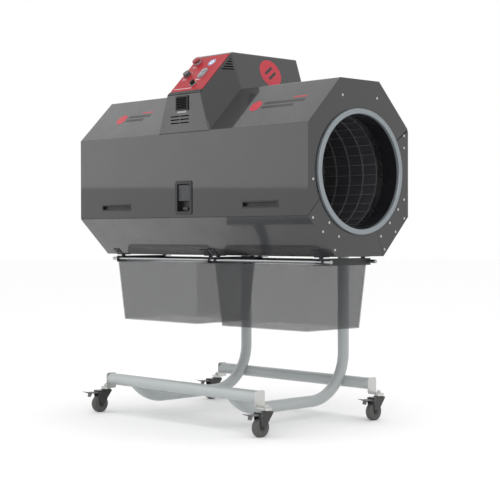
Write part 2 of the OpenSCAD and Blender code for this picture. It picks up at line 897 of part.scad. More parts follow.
module air_filter() {
    color("black") housing() translate([filter_at[0], -half_w, filter_at[1]]) {
        difference() {
            along_y(-5, 0) square([filter_w, filter_h], center = true);
            along_y(-6, 1) square([filter_w - 12, filter_h - 12], center = true);
        }
        for (k = [-3 : 3]) translate([-filter_w / 2 + 5, -4, k * 7 - 1]) cube([filter_w - 10, 4, 2]);
    }
}

// Appliance inlet on the rear face of the box
module power_inlet() {
    color("black") housing() translate([inlet_at[0], box_rear, inlet_at[1]]) difference() {
        union() {
            along_y(0, 3) square([inlet_w + 9, inlet_h + 9], center = true);
            along_y(-30, 1) square([inlet_w, inlet_h], center = true);
        }
        along_y(-22, 4) square([inlet_w - 14, inlet_h - 12], center = true);
    }
}

// ---- drum ----

// Hoops with straight bars welded round them
module drum_cage() {
    step = (2 * cage_half - 6) / (hoop_count - 1);
    color("gray") housing() translate([0, 0, axis_height]) {
        for (k = [0 : hoop_count - 1]) let (x = -cage_half + 3 + k * step)
            ring_x(cage_r + hoop_t, cage_r, x - 2.5, x + 2.5);
        for (k = [0 : bar_count - 1]) rotate([k * 360 / bar_count, 0, 0])
            translate([-cage_half, -bar_t / 2, cage_r + hoop_t + fit]) cube([2 * cage_half, bar_t, bar_t]);
    }
}

module drum_screen() {
    color("dimgray") housing() translate([0, 0, axis_height])
        ring_x(screen_r + 1.5, screen_r, -cage_half, cage_half);
}

module drum_tracks() {
    color("silver") housing() both_ends() translate([0, 0, axis_height])
        ring_x(track_r, cage_r, cage_half, drum_half);
}

// ---- drive ----

module roller_shaft(side) {
    housing() translate([0, side * roller_y, roller_z]) {
        rod_x(shaft_r, -bearing_x - 16, bearing_x + 16);
        both_ends() rod_x(roller_r, drum_half - track_w / 2 - roller_w / 2, drum_half - track_w / 2 + roller_w / 2);
    }
}

module drive_roller_shaft() {
    color("silver") roller_shaft(1);
}

module idler_roller_shaft() {
    color("silver") roller_shaft(-1);
}

// Blocks that carry the roller shafts on the lower chamfers
module roller_bearings() {
    drop = (bottom_flat / 2 - roller_y) * sin(low_angle) + roller_z * cos(low_angle) - sheet;
    color("dimgray") housing() both_ends() front_and_rear()
        translate([bearing_x, roller_y, roller_z]) rotate([low_angle, 0, 0]) difference() {
            translate([-10, -22, -drop]) cube([20, 44, drop + 15]);
            rod_x(shaft_r + fit, -20, 20);
        }
}

// A toothed-belt pulley with side flanges, centred on X = 0
module pulley(bore_r) {
    difference() {
        union() {
            rod_x(pulley_r, -pulley_w / 2, pulley_w / 2);
            for (x = [-pulley_w / 2, pulley_w / 2 - 1.5]) rod_x(pulley_r + 3, x, x + 1.5);
        }
        if (bore_r > 0) rod_x(bore_r, -pulley_w, pulley_w);
    }
}

module shaft_pulley() {
    color("silver") housing() translate([pulley_x, roller_y, roller_z]) pulley(shaft_r);
}

module motor_pulley() {
    color("silver") housing() translate([pulley_x, motor_y, motor_z]) {
        pulley(0);
        rod_x(6, 0, pulley_w / 2 + 26);
    }
}

module gear_motor() {
    x1 = pulley_x + pulley_w / 2 + 6;
    foot_low = lower_corner + 2 * sheet;
    color("darkslategray") housing() difference() {
        union() {
            rod_x(motor_r, x1, x1 + motor_len, motor_y, motor_z);
            rod_x(motor_r - 4, x1 + motor_len, x1 + motor_len + 12, motor_y, motor_z);
            translate([x1 + 50, motor_y, foot_low])
                cube([90, half_w - sheet - motor_y, motor_z + 20 - foot_low]);
        }
        rod_x(6 + fit, x1 - 1, x1 + 24, motor_y, motor_z);
    }
}

// The solid that a belt of radius r round both pulleys encloses
module belt_core(r, half) {
    hull() {
        rod_x(r, -half, half);
        rod_x(r, -half, half, motor_y - roller_y, motor_z - roller_z);
    }
}

module drive_belt() {
    inner = pulley_r + gap;
    half = pulley_w / 2 - 2;
    color("black") housing() translate([pulley_x, roller_y, roller_z]) difference() {
        belt_core(inner + belt_t, half);
        belt_core(inner, half + 1);
    }
}

// ---- casters ----

// Moves children to the stem of one caster: side is -1 or 1, y from the drum axis
module caster(side, y) {
    translate([side * stem_x, axis_y + y, 0]) children();
}

module fork(side, y) {
    foot = cheek_in + cheek_t;
    color("black") caster(side, y) difference() {
        union() {
            translate([0, 0, fork_top - fork_cap]) cylinder(r = 21, h = fork_cap);
            translate([-foot, pedal_y - 10, fork_top - fork_cap]) cube([2 * foot, 28 - pedal_y, 5]);
            for (x = [-foot, cheek_in]) along_x(x, x + cheek_t) {
                polygon([[18, fork_top - fork_cap], [pedal_y - 10, fork_top - fork_cap],
                    [pedal_y - 10, pedal_z - 6], [-trail - 12, wheel_r], [-trail + 12, wheel_r]]);
                translate([-trail, wheel_r]) circle(12);
            }
            rod_x(axle_r, -foot - 2, foot + 2, -trail, wheel_r);
            for (s = [-1, 1]) rod_x(6.5, s * (foot + 1.5) - 1.5, s * (foot + 1.5) + 1.5, -trail, wheel_r);
        }
        cylinder(r = stem_r + fit, h = caster_top);
        rod_x(pedal_pin + fit, -foot - 1, foot + 1, pedal_y, pedal_z);
    }
}

module fork_fl() {
    fork(-1, -front_reach);
}

module fork_fr() {
    fork(1, -front_reach);
}

module fork_rl() {
    fork(-1, rear_reach);
}

module fork_rr() {
    fork(1, rear_reach);
}

module wheel(side, y) {
    edge = 6;
    color("dimgray") caster(side, y) translate([0, -trail, wheel_r]) rotate([0, 90, 0]) rotate_extrude() {
        bore = axle_r + fit;
        translate([bore, -wheel_w / 2]) square([wheel_r - edge - bore, wheel_w]);
        translate([bore, -wheel_w / 2 + edge]) square([wheel_r - bore, wheel_w - 2 * edge]);
        for (z = [-1, 1]) translate([wheel_r - edge, z * (wheel_w / 2 - edge)]) circle(edge);
        translate([bore, -wheel_w / 2 - 1.5]) square([5, wheel_w + 3]);
    }
}

module wheel_fl() {
    wheel(-1, -front_reach);
}

module wheel_fr() {
    wheel(1, -front_reach);
}

module wheel_rl() {
    wheel(-1, rear_reach);
}

module wheel_rr() {
    wheel(1, rear_reach);
}

// Brake pedal with its pin; the lever ends at the front of the footprint
module pedal(side, y) {
    tip = pedal_reach;
    color("gray") caster(side, y) {
        rod_x(pedal_pin, -cheek_in - cheek_t, cheek_in + cheek_t, pedal_y, pedal_z);
        rod_x(5, -cheek_in + gap, cheek_in - gap, pedal_y, pedal_z);
        along_x(-12, 12) polygon([[pedal_y, pedal_z - 2], [pedal_y, pedal_z + 4], [-tip + 25, pedal_z + 6],
            [-tip, pedal_z + 10], [-tip, pedal_z + 8], [-tip + 25, pedal_z]]);
        along_x(-9, 9) polygon([[-tip + 38, pedal_z + 2], [-tip + 28, pedal_z + 2], [-tip + 24, pedal_z - 14],
            [-tip + 28, pedal_z - 16]]);
    }
}

module pedal_fl() {
    pedal(-1, -front_reach);
}

module pedal_fr() {
    pedal(1, -front_reach);
}

module pedal_rl() {
    pedal(-1, rear_reach);
}

module pedal_rr() {
    pedal(1, rear_reach);
}

leg_left();
leg_right();
front_cross_tube();
rear_cross_tube();
caster_plates();
caster_stems();
leg_clamps();
bin_rods();
bin_runners();
rod_brackets();
tray_shell();
rear_shell();
base_ends();
port_ring_left();
port_ring_right();
port_collars();
base_fasteners();
hood_shell();
hood_ends();
hood_hinge_leaves();
base_hinge_leaves();
pull_cups();
latch_body();
latch_paddle();
latch_bolt();
latch_keeper();
control_box();
panel_plate();
button_bezels();
stop_mushroom();
speed_knob();
selector_knob();
start_button();
halt_button();
air_filter();
power_inlet();
drum_cage();
drum_screen();
drum_tracks();
drive_roller_shaft();
idler_roller_shaft();
roller_bearings();
gear_motor();
motor_pulley();
shaft_pulley();
drive_belt();
bin_left();
bin_right();
fork_fl();
fork_fr();
fork_rl();
fork_rr();
wheel_fl();
wheel_fr();
wheel_rl();
wheel_rr();
pedal_fl();
pedal_fr();
pedal_rl();
pedal_rr();
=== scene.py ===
"""The looks of a rotary drum sifter, on its CAD frame: finishes, folded edges, marks and a studio."""

import json
import math

import bmesh
import bpy
from bpy.props import FloatProperty, FloatVectorProperty, IntProperty, PointerProperty
from mathutils import Matrix, Vector

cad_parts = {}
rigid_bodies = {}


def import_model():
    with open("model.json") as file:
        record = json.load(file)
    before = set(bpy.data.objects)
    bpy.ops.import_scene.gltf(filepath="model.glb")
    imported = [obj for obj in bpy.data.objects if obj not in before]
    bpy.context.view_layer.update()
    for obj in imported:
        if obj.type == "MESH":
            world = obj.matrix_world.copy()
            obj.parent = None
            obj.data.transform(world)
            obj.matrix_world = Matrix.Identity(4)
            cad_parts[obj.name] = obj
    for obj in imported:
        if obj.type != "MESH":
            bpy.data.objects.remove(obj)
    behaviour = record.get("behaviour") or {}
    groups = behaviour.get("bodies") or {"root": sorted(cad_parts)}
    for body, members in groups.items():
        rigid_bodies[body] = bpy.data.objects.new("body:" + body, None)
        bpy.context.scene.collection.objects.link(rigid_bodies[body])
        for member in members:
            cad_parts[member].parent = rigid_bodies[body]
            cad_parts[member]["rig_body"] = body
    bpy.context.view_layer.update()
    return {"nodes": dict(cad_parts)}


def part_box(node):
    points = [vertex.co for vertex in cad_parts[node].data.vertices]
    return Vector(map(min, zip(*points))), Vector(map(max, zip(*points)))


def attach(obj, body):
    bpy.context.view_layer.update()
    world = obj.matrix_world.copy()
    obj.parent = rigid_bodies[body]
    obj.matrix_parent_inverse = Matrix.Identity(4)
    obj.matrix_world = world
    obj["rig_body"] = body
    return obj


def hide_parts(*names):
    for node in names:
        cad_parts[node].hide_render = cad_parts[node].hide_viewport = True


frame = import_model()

bl_info = {
    "name": "Drum Sifter Looks",
    "version": (1, 0, 0),
    "blender": (4, 5, 0),
    "location": "View3D > Sidebar > Sifter",
    "description": "Dresses the CAD frame of a rotary drum sifter",
    "category": "Object",
}

MM = 0.001
CORNERS = ("fl", "fr", "rl", "rr")

# The drum's axis, in metres
AXIS_Y = 0.0275
AXIS_Z = 1.036
SCREEN_R = 0.2445

# The housing's section: half widths are measured from the axis, heights from its underside at GROUND.
# Past RIVETS_PAST, either way along X, only the heads of the end plates' rivets stand out
GROUND = 0.700
HALF_W = 0.297
TOP_HALF = 0.116
UPPER_CORNER = 0.516
BODY_H = 0.700
RIVETS_PAST = 0.7201

# The control box: its upright height, and half its width at the foot and at the top
BOX_H = 0.160
BOX_BASE = 0.1605
BOX_TOP = 0.106

# The front slope that the box stands on, and the directions up it and out of it
SLOPE = math.atan2(BODY_H - UPPER_CORNER, HALF_W - TOP_HALF)
UP_SLOPE = Vector((0, math.cos(SLOPE), math.sin(SLOPE)))
OFF_SLOPE = Vector((0, -math.sin(SLOPE), math.cos(SLOPE)))
ALONG = (1, 0, 0)
FORWARD = (0, -1, 0)

# Print is this thick, and lies this far above the surface under it
FILM = 0.3 * MM
PANEL_FILM = 0.15 * MM
FILM_GAP = 0.1 * MM
PANEL_GAP = 0.05 * MM

# Meshes: edges sharper than CREASE stay sharp, and faces flatter than FLAT to each other become one
CREASE = math.radians(28)
FLAT = math.radians(0.5)
WELD = 0.004 * MM
FOLD_SEGMENTS = 4
BROAD_SHEET = 8 * MM

# Finishes: the part of a noise's range that is used, and how far roughness wanders from patch to patch
NOISE_RANGE = {"From_Min": 0.3, "From_Max": 0.7}
PATCH = 0.12
ROUGH_SPREAD = 0.25

# The finishes by slot, filled in when the first one is asked for
FINISHES = {}


# ---- finishes ----


def srgb(text):
    """A #RRGGBB colour as linear RGBA."""
    parts = [int(text[i : i + 2], 16) / 255 for i in (1, 3, 5)]
    return tuple(c / 12.92 if c <= 0.04045 else ((c + 0.055) / 1.055) ** 2.4 for c in parts) + (1.0,)


def add(tree, kind, links=None, **settings):
    """A node of that kind, with its sockets or properties set and its inputs linked."""
    node = tree.nodes.new(kind)
    for key, value in settings.items():
        if key in node.bl_rna.properties:
            setattr(node, key, value)
        else:
            node.inputs[key.replace("_", " ")].default_value = value
    for key, source in (links or {}).items():
        tree.links.new(source, node.inputs[key])
    return node


def new_tree(name):
    """A new material with an empty node tree."""
    made = bpy.data.materials.new(name)
    made.use_nodes = True
    made.node_tree.nodes.clear()
    return made, made.node_tree


def finish(
    name,
    colour,
    rough,
    grain,
    depth,
    shade=0.06,
    metallic=0.0,
    ior=1.5,
    gloss=0.5,
    coat=0.0,
    coat_ior=1.5,
    alpha=1.0,
):
    """A finish with a surface grain. grain is its size and depth its height, both in millimetres."""
    made, tree = new_tree(name)
    place = add(tree, "ShaderNodeTexCoord").outputs["Object"]
    fine = add(tree, "ShaderNodeTexNoise", {"Vector": place}, Scale=1 / (grain * MM), Detail=3.0)
    broad = add(tree, "ShaderNodeTexNoise", {"Vector": place}, Scale=1 / PATCH, Detail=4.0)
    roughness = add(
        tree,
        "ShaderNodeMapRange",
        {"Value": broad.outputs["Fac"]},
        To_Min=rough * (1 - ROUGH_SPREAD),
        To_Max=min(1.0, rough * (1 + ROUGH_SPREAD)),
        **NOISE_RANGE,
    )
    tint = add(
        tree,
        "ShaderNodeMapRange",
        {"Value": fine.outputs["Fac"]},
        To_Min=1 - shade,
        To_Max=1 + shade,
        **NOISE_RANGE,
    )
    shaded = add(tree, "ShaderNodeVectorMath", {1: tint.outputs["Result"]}, operation="MULTIPLY")
    shaded.inputs[0].default_value = colour[:3]
    bump = add(tree, "ShaderNodeBump", {"Height": fine.outputs["Fac"]}, Strength=1.0, Distance=depth * MM)
    shader = add(
        tree,
        "ShaderNodeBsdfPrincipled",
        {
            "Base Color": shaded.outputs["Vector"],
            "Roughness": roughness.outputs["Result"],
            "Normal": bump.outputs["Normal"],
        },
        Metallic=metallic,
        IOR=ior,
        Alpha=alpha,
        Coat_Weight=coat,
        Coat_Roughness=0.04,
        Coat_IOR=coat_ior,
        Specular_IOR_Level=gloss,
    )
    add(tree, "ShaderNodeOutputMaterial", {"Surface": shader.outputs["BSDF"]})
    return made


def woven(name, colour, pitch, height):
    """A cloth on the drum's screen: threads run along and round it, that pitch apart and that high."""
    made, tree = new_tree(name)
    place = add(tree, "ShaderNodeTexCoord").outputs["Object"]
    centred = add(tree, "ShaderNodeVectorMath", {0: place}, operation="SUBTRACT")
    centred.inputs[1].default_value = (0, AXIS_Y, AXIS_Z)
    x, y, z = add(tree, "ShaderNodeSeparateXYZ", {0: centred.outputs["Vector"]}).outputs
    angle = add(tree, "ShaderNodeMath", {0: y, 1: z}, operation="ARCTAN2")
    waves = []
    for source, turns in ((angle.outputs[0], SCREEN_R / pitch), (x, 1 / pitch)):
        scaled = add(tree, "ShaderNodeMath", {0: source}, operation="MULTIPLY")
        scaled.inputs[1].default_value = 2 * math.pi * turns
        waves.append(add(tree, "ShaderNodeMath", {0: scaled.outputs[0]}, operation="SINE").outputs[0])
    weave = add(tree, "ShaderNodeMath", {0: waves[0], 1: waves[1]}, operation="MULTIPLY").outputs[0]
    roughness = add(
        tree, "ShaderNodeMapRange", {"Value": weave}, From_Min=-1.0, From_Max=1.0, To_Min=0.45, To_Max=0.7
    )
    bump = add(tree, "ShaderNodeBump", {"Height": weave}, Strength=0.6, Distance=height)
    shader = add(
        tree,
        "ShaderNodeBsdfPrincipled",
        {"Roughness": roughness.outputs["Result"], "Normal": bump.outputs["Normal"]},
        Base_Color=colour,
    )
    add(tree, "ShaderNodeOutputMaterial", {"Surface": shader.outputs["BSDF"]})
    return made


def palette(looks):
    """Every finish, by its slot. A grain of a millimetre or so isn't seen by itself, but softens the gloss."""
    made = {
        # powder coat over tube: a soft sheen with a fine orange peel
        "stand_paint": finish(
            "Steel tube, silver-grey powder coat",
            looks.stand_colour, rough=0.38, grain=1.2, depth=0.02, coat=0.3,
        ),
        # zinc plating: bright and slightly patchy
        "zinc_steel": finish(
            "Steel, zinc plated",
            srgb("#C4C5C2"), rough=0.3, grain=2, depth=0.02, metallic=1.0,
        ),
        # ground rod: bright with a soft glint
        "rod_steel": finish(
            "Steel rod, ground",
            srgb("#A9ABAD"), rough=0.28, grain=1, depth=0.01, metallic=1.0,
        ),
        # dark powder coat: nearly black, satin
        "rail_coat": finish(
            "Steel, dark powder coat",
            srgb("#2C2D2F"), rough=0.45, grain=1.2, depth=0.03,
        ),
        # gloss powder coat: a dark ground under a clear, mirror-like skin
        "housing_coat": finish(
            "Sheet steel, dark grey gloss coat",
            looks.housing_colour, rough=0.36, grain=2.5, depth=0.004, shade=0.02,
            gloss=0.15, coat=1.0, coat_ior=1.6,
        ),
        # satin coat with metal flake: even and light
        "ring_coat": finish(
            "Steel ring, satin grey coat",
            srgb("#858C90"), rough=0.34, grain=1.5, depth=0.01, metallic=0.4,
        ),
        # moulded ABS: dull with a fine tooth
        "black_plastic": finish(
            "ABS, moulded black",
            srgb("#151515"), rough=0.42, grain=0.8, depth=0.03,
        ),
        # darkened handle: satin, with a little metal in it
        "paddle_steel": finish(
            "Steel handle, dark satin",
            srgb("#3A3B3D"), rough=0.34, grain=1, depth=0.01, metallic=0.3,
        ),
        # satin enamel: a strong, even red with a low sheen
        "panel_red": finish(
            "Sheet steel, red satin enamel",
            looks.panel_colour, rough=0.5, grain=1.5, depth=0.01, shade=0.03,
        ),
        # moulded keys and bezels: plain mid grey
        "grey_plastic": finish(
            "ABS, moulded grey",
            srgb("#8F9194"), rough=0.42, grain=0.8, depth=0.02,
        ),
        # speed knob: a shade above black
        "knob_grey": finish(
            "ABS, dark grey knob",
            srgb("#4A4C4F"), rough=0.38, grain=1, depth=0.02,
        ),
        # stop button: glossy, saturated red
        "stop_red": finish(
            "Nylon, glossy red",
            srgb("#85131D"), rough=0.25, grain=1, depth=0.01, coat=0.5,
        ),
        # coated wire of the cage: mid grey against the dark screen
        "cage_steel": finish(
            "Wire, coated grey",
            srgb("#6C6D70"), rough=0.4, grain=1, depth=0.03, metallic=0.2,
        ),
        # turned tracks: bright with a fine grain
        "track_alloy": finish(
            "Aluminium, turned",
            srgb("#C9CACC"), rough=0.3, grain=0.6, depth=0.02, metallic=1.0,
        ),
        # motor enamel: dark blue-grey gloss
        "motor_paint": finish(
            "Cast alloy, dark enamel",
            srgb("#2B3135"), rough=0.35, grain=1.5, depth=0.02, coat=0.4,
        ),
        # belt rubber: black and dull
        "belt_rubber": finish(
            "Rubber, moulded belt",
            srgb("#141414"), rough=0.75, grain=1, depth=0.05,
        ),
        # smoke tint: a dark film that shows what is behind it
        "bin_plastic": finish(
            "Polycarbonate, smoke tinted",
            srgb("#3A3B3D"), rough=0.12, grain=6, depth=0.01, shade=0.02, ior=1.49, alpha=0.38,
        ),
        # coat of the pressed forks: black with soft highlights
        "caster_black": finish(
            "Pressed steel, black coat",
            srgb("#191919"), rough=0.36, grain=1.2, depth=0.03, coat=0.3,
        ),
        # tread: dull grey with a moulded grain
        "tyre_grey": finish(
            "Rubber, grey tread",
            srgb("#4B4B49"), rough=0.62, grain=1.2, depth=0.06,
        ),
        # brake pedals: plain, slightly dull grey
        "pedal_grey": finish(
            "Nylon, moulded grey",
            srgb("#626466"), rough=0.45, grain=1, depth=0.03,
        ),
        # wheel core: a shade lighter than the tread
        "wheel_core": finish(
            "Nylon, light grey core",
            srgb("#77787A"), rough=0.45, grain=1, depth=0.03,
        ),
    }
    # screen inks: a thin, even colour with a slight gloss
    for slot, name, colour in (
        ("print_white", "Ink, white print", "#E8E8E8"),
        ("print_blue", "Ink, blue print", "#2F5FA8"),
        ("print_red", "Ink, red print", "#B32435"),
        ("print_dark", "Ink, dark print", "#232325"),
        ("print_grey", "Ink, pale grey print", "#9A9C9F"),
    ):
        made[slot] = finish(name, srgb(colour), rough=0.35, grain=1, depth=0.005)
    # studio floor: matt, pale paper
    made["floor_paper"] = finish(
        "Paper, matt white",
        srgb("#FDFDFD"), rough=0.8, grain=4, depth=0.02, shade=0.01,
    )
    # woven nylon: dark and crossed. Its threads are drawn coarser than a sieve's, so that they show
    made["screen_cloth"] = woven("Nylon, woven screen", srgb("#3A3A3E"), pitch=2.4 * MM, height=0.2 * MM)
    return made


def look(slot):
    """The finish of that slot."""
    if not FINISHES:
        FINISHES.update(palette(bpy.context.scene.sifter))
    return FINISHES[slot]


# ---- nodes of the frame ----


def paint(nodes, slot):
    """Gives CAD nodes the finish of their slot."""
    for node in nodes:
        o = frame["nodes"][node]
        o.data.materials.clear()
        o.data.materials.append(look(slot))


def second_finish(node, slot, holds):
    """Gives some faces of a painted node a finish of their own: those whose corners the test holds for."""
    o = frame["nodes"][node]
    o.data.materials.append(look(slot))
    for face in o.data.polygons:
        if holds([o.data.vertices[i].co for i in face.vertices]):
            face.material_index = 1


def on_rivet(corners):
    """Whether a face of an end plate reaches out past the plate, as the rivets' heads do."""
    return max(abs(co.x) for co in corners) > RIVETS_PAST


def reach(corners, hub):
    """How far a face of a wheel reaches from its axle."""
    return max(math.hypot(co.y - hub.y, co.z - hub.z) for co in corners)


def smooth(mesh):
    """Smooth shading, apart from the edges sharper than a crease."""
    mesh.shade_smooth()
    mesh.set_sharp_from_angle(angle=CREASE)


def to_mesh(bm, name):
    """The bmesh as a mesh of that name."""
    mesh = bpy.data.meshes.new(name)
    bm.to_mesh(mesh)
    bm.free()
    return mesh


def piece(name, mesh, body, finish_slot):
    """A new piece with that mesh and finish, riding on that body."""
    o = bpy.data.objects.new(name, mesh)
    bpy.context.scene.collection.objects.link(o)
    mesh.materials.append(look(finish_slot))
    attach(o, body)
    return o


def joined(node):
    """A bmesh of a CAD node with its seams welded and its flat faces joined."""
    bm = bmesh.new()
    bm.from_mesh(frame["nodes"][node].data)
    bmesh.ops.remove_doubles(bm, verts=bm.verts, dist=WELD)
    bmesh.ops.dissolve_limit(bm, angle_limit=FLAT, verts=bm.verts, edges=bm.edges)
    return bm


def bevelled(node, mesh, ink, radius, segments):
    """A piece in a node's place with a bevel on its edges. Broad faces keep a flat shading beside it."""
    smooth(mesh)
    o = piece(mesh.name, mesh, frame["nodes"][node]["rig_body"], ink)
    bevel = o.modifiers.new("edges", "BEVEL")
    bevel.width = radius
    bevel.segments = segments
    normals = o.modifiers.new("normals", "WEIGHTED_NORMAL")
    normals.weight = 100
    normals.keep_sharp = True
    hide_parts(node)
    return bevel


def folded(node, slot, radius, least=0.1):
    """A sheet-metal node whose outer folds, from that length on, are rounded to that bend radius."""
    bm = joined(node)
    weight = bm.edges.layers.float.new("bevel_weight_edge")
    for edge in bm.edges:
        if len(edge.link_faces) != 2 or not edge.is_convex or edge.calc_length() < least:
            continue
        narrow = min(face.calc_area() / max(e.calc_length() for e in face.edges) for face in edge.link_faces)
        if edge.calc_face_angle() > math.radians(15) and narrow > BROAD_SHEET:
            edge[weight] = 1.0
    bevel = bevelled(node, to_mesh(bm, node + "_folded"), slot, radius, FOLD_SEGMENTS)
    bevel.limit_method = "WEIGHT"
    bevel.use_clamp_overlap = False


def rounded(node, slot, radius, segments=2, angle=40, ink=None):
    """A solid node with its sharp edges broken by that radius. ink is a finish other than its slot's."""
    mesh = to_mesh(joined(node), node + "_rounded")
    bevel = bevelled(node, mesh, ink or slot, radius, segments)
    bevel.limit_method = "ANGLE"
    bevel.angle_limit = math.radians(angle)


# ---- outlines, planes and small pieces ----


def bar(width, height, x=0.0, y=0.0):
    """A rectangle about x, y."""
    return [
        (x - width / 2, y - height / 2),
        (x + width / 2, y - height / 2),
        (x + width / 2, y + height / 2),
        (x - width / 2, y + height / 2),
    ]


def disc(radius, sides=48):
    """Points round a circle."""
    turns = [2 * math.pi * i / sides for i in range(sides)]
    return [(radius * math.cos(turn), radius * math.sin(turn)) for turn in turns]


def ring(outer, inner, sides=32):
    """A flat ring, cut through at one place so that it is a single outline."""
    rim = disc(outer, sides)
    bore = disc(inner, sides)
    return rim + rim[:1] + list(reversed(bore + bore[:1]))


def prism(outline, height, place):
    """A bmesh of an outline in a plane, raised by height and moved by place."""
    bm = bmesh.new()
    face = bm.faces.new([bm.verts.new((x, y, 0)) for x, y in outline])
    raised = bmesh.ops.extrude_face_region(bm, geom=[face])["geom"]
    for v in raised:
        if isinstance(v, bmesh.types.BMVert):
            v.co.z += height
    bmesh.ops.recalc_face_normals(bm, faces=bm.faces)
    bm.transform(place)
    return bm


def turned(profile, place, sides):
    """A bmesh turned round Z from a profile of (radius, height) points, moved by place."""
    bm = bmesh.new()
    verts = [bm.verts.new((r, 0, z)) for r, z in profile]
    edges = [bm.edges.new((verts[i], verts[(i + 1) % len(verts)])) for i in range(len(verts))]
    bmesh.ops.spin(
        bm, geom=verts + edges, axis=(0, 0, 1), cent=(0, 0, 0), angle=2 * math.pi, steps=sides
    )
    bmesh.ops.remove_doubles(bm, verts=bm.verts, dist=1e-7)
    bmesh.ops.recalc_face_normals(bm, faces=bm.faces)
    bm.transform(place)
    return bm


def plane_at(origin, across, normal):
    """A matrix that lays local XY on a plane, X along across."""
    n = Vector(normal).normalized()
    x = Vector(across).normalized()
    turn = Matrix((x, n.cross(x), n)).transposed().to_4x4()
    return Matrix.Translation(Vector(origin)) @ turn


def spun(degrees):
    """A turn in the plane of an outline."""
    return Matrix.Rotation(math.radians(degrees), 4, "Z")


def front_place(x, up):
    """The plane of the housing's front wall at x, up above its underside."""
    return plane_at((x, AXIS_Y - HALF_W, GROUND + up), ALONG, FORWARD)


def slope_place(x):
    """The plane of the hood's front slope at x, halfway up it and clear of its coat."""
    middle = Vector((x, AXIS_Y - (HALF_W + TOP_HALF) / 2, GROUND + (UPPER_CORNER + BODY_H) / 2))
    return plane_at(middle + OFF_SLOPE * FILM_GAP, ALONG, OFF_SLOPE)


def panel_place(u, v, lift):
    """The place u across and v up the control box's sloping top, lift above it."""
    up = BOX_H * math.cos(SLOPE)
    base = Vector((0, AXIS_Y - HALF_W, GROUND + UPPER_CORNER))
    origin = base + Vector((u, 0, 0)) + UP_SLOPE * (up * math.tan(SLOPE) + v) + OFF_SLOPE * (up + lift)
    return plane_at(origin, ALONG, OFF_SLOPE)


def panel_top():
    """Height of the red plate's outer face above the box's sloping top."""
    base = panel_place(0, 0, 0).translation
    return max(OFF_SLOPE.dot(v.co - base) for v in frame["nodes"]["panel_plate"].data.vertices)


def slab(name, outline, thickness, place, finish_slot):
    """A flat piece on the hood."""
    piece(name, to_mesh(prism(outline, thickness, place), name), "hood", finish_slot)


def marks(name, outlines, finish_slot, thickness=FILM):
    """Print on the hood as one thin piece: each mark is an outline and the plane it lies on."""
    whole = bmesh.new()
    for outline, place in outlines:
        mark = to_mesh(prism(outline, thickness, place), "mark")
        whole.from_mesh(mark)
        bpy.data.meshes.remove(mark)
    piece(name, to_mesh(whole, name), "hood", finish_slot)


def screw(name, place):
    """A low domed screw head on the hood."""
    radius, sides = 3 * MM, 24
    head = [(0, 0), (radius, 0), (radius, 0.25 * radius), (0.7 * radius, 0.5 * radius), (0, 0.58 * radius)]
    mesh = to_mesh(turned(head, place, sides), name)
    smooth(mesh)
    piece(name, mesh, "hood", "knob_grey")


def print_hood():
    """Two stripes, a spot and a tag at each end of the hood's front slope."""
    spot_r = 30 * MM
    spot_in = 32 * MM
    stripe_in, stripe_h, stripe_step = 74 * MM, 14 * MM, 24 * MM
    tag_w, tag_h, tag_up = 72 * MM, 7 * MM, 34 * MM
    stripes = []
    spots = []
    for left, right in ((0.311, 0.607), (-0.562, -0.337)):
        start = left + stripe_in
        for row, share in ((0.5, 1.0), (-0.5, 0.8)):
            width = (right - start) * share
            stripes.append((bar(width, stripe_h, 0, row * stripe_step), slope_place(start + width / 2)))
        spots.append((disc(spot_r), slope_place(left + spot_in)))
        spots.append((bar(tag_w, tag_h, 0, tag_up), slope_place(right - tag_w / 2)))
    marks("hood_stripes", stripes, "print_dark")
    marks("hood_spots", spots, "print_red")


def print_badge():
    """A round badge with two slanted bars on the control box's leaning side."""
    badge_r, up, back = 62 * MM, 83 * MM, 84 * MM
    slash_w, slash_h, slash_off, slant = 56 * MM, 12 * MM, 14 * MM, 35
    lean = (BOX_BASE - BOX_TOP) / BOX_H
    side = Vector((1, 0, lean)).normalized()
    centre = Vector((BOX_BASE - lean * up, AXIS_Y + back, GROUND + BODY_H + up))
    place = plane_at(centre + side * FILM_GAP, (0, 1, 0), side)
    marks("badge_ground", [(disc(badge_r), place)], "print_red")
    raised = Matrix.Translation(side * FILM) @ place @ spun(slant)
    slashes = [(bar(slash_w, slash_h, 0, y), raised) for y in (-slash_off, slash_off)]
    marks("badge_print", slashes, "print_dark")


def print_panel(tick_count):
    """Ticks round the dial and the selector, plain bars for labels and a round mark. Places in mm."""
    lift = panel_top() + PANEL_GAP
    dial = panel_place(-72 * MM, 127 * MM, lift)
    selector = panel_place(14 * MM, 62 * MM, lift)
    dial_tick = bar(5 * MM, 1.2 * MM, 23 * MM)
    selector_tick = bar(6 * MM, 1.6 * MM, 22 * MM)
    first, sweep = 240, 300
    ticks = [(dial_tick, dial @ spun(first - sweep * i / (tick_count - 1))) for i in range(tick_count)]
    ticks += [(selector_tick, selector @ spun(turn)) for turn in (90, 180)]
    for u, v, width in ((-69, 178, 30), (-72, 98, 26), (14, 92, 20), (24, 90, 28), (-30, 36, 110)):
        ticks.append((bar(width * MM, 2.2 * MM), panel_place(u * MM, v * MM, lift)))
    marks("panel_ticks", ticks, "print_white", PANEL_FILM)
    low = panel_place(24 * MM, 200 * MM, lift)
    high = panel_place(24 * MM, 200 * MM, lift + PANEL_FILM)
    marks("round_mark_ground", [(disc(20 * MM), low)], "print_white", PANEL_FILM)
    target = [(ring(18.5 * MM, 13 * MM), high), (disc(5 * MM), high)]
    marks("round_mark_print", target, "print_blue", PANEL_FILM)


def aim(o, target):
    """Turns a light to look at a point."""
    o.rotation_euler = (Vector(target) - o.location).to_track_quat("-Z", "Y").to_euler()


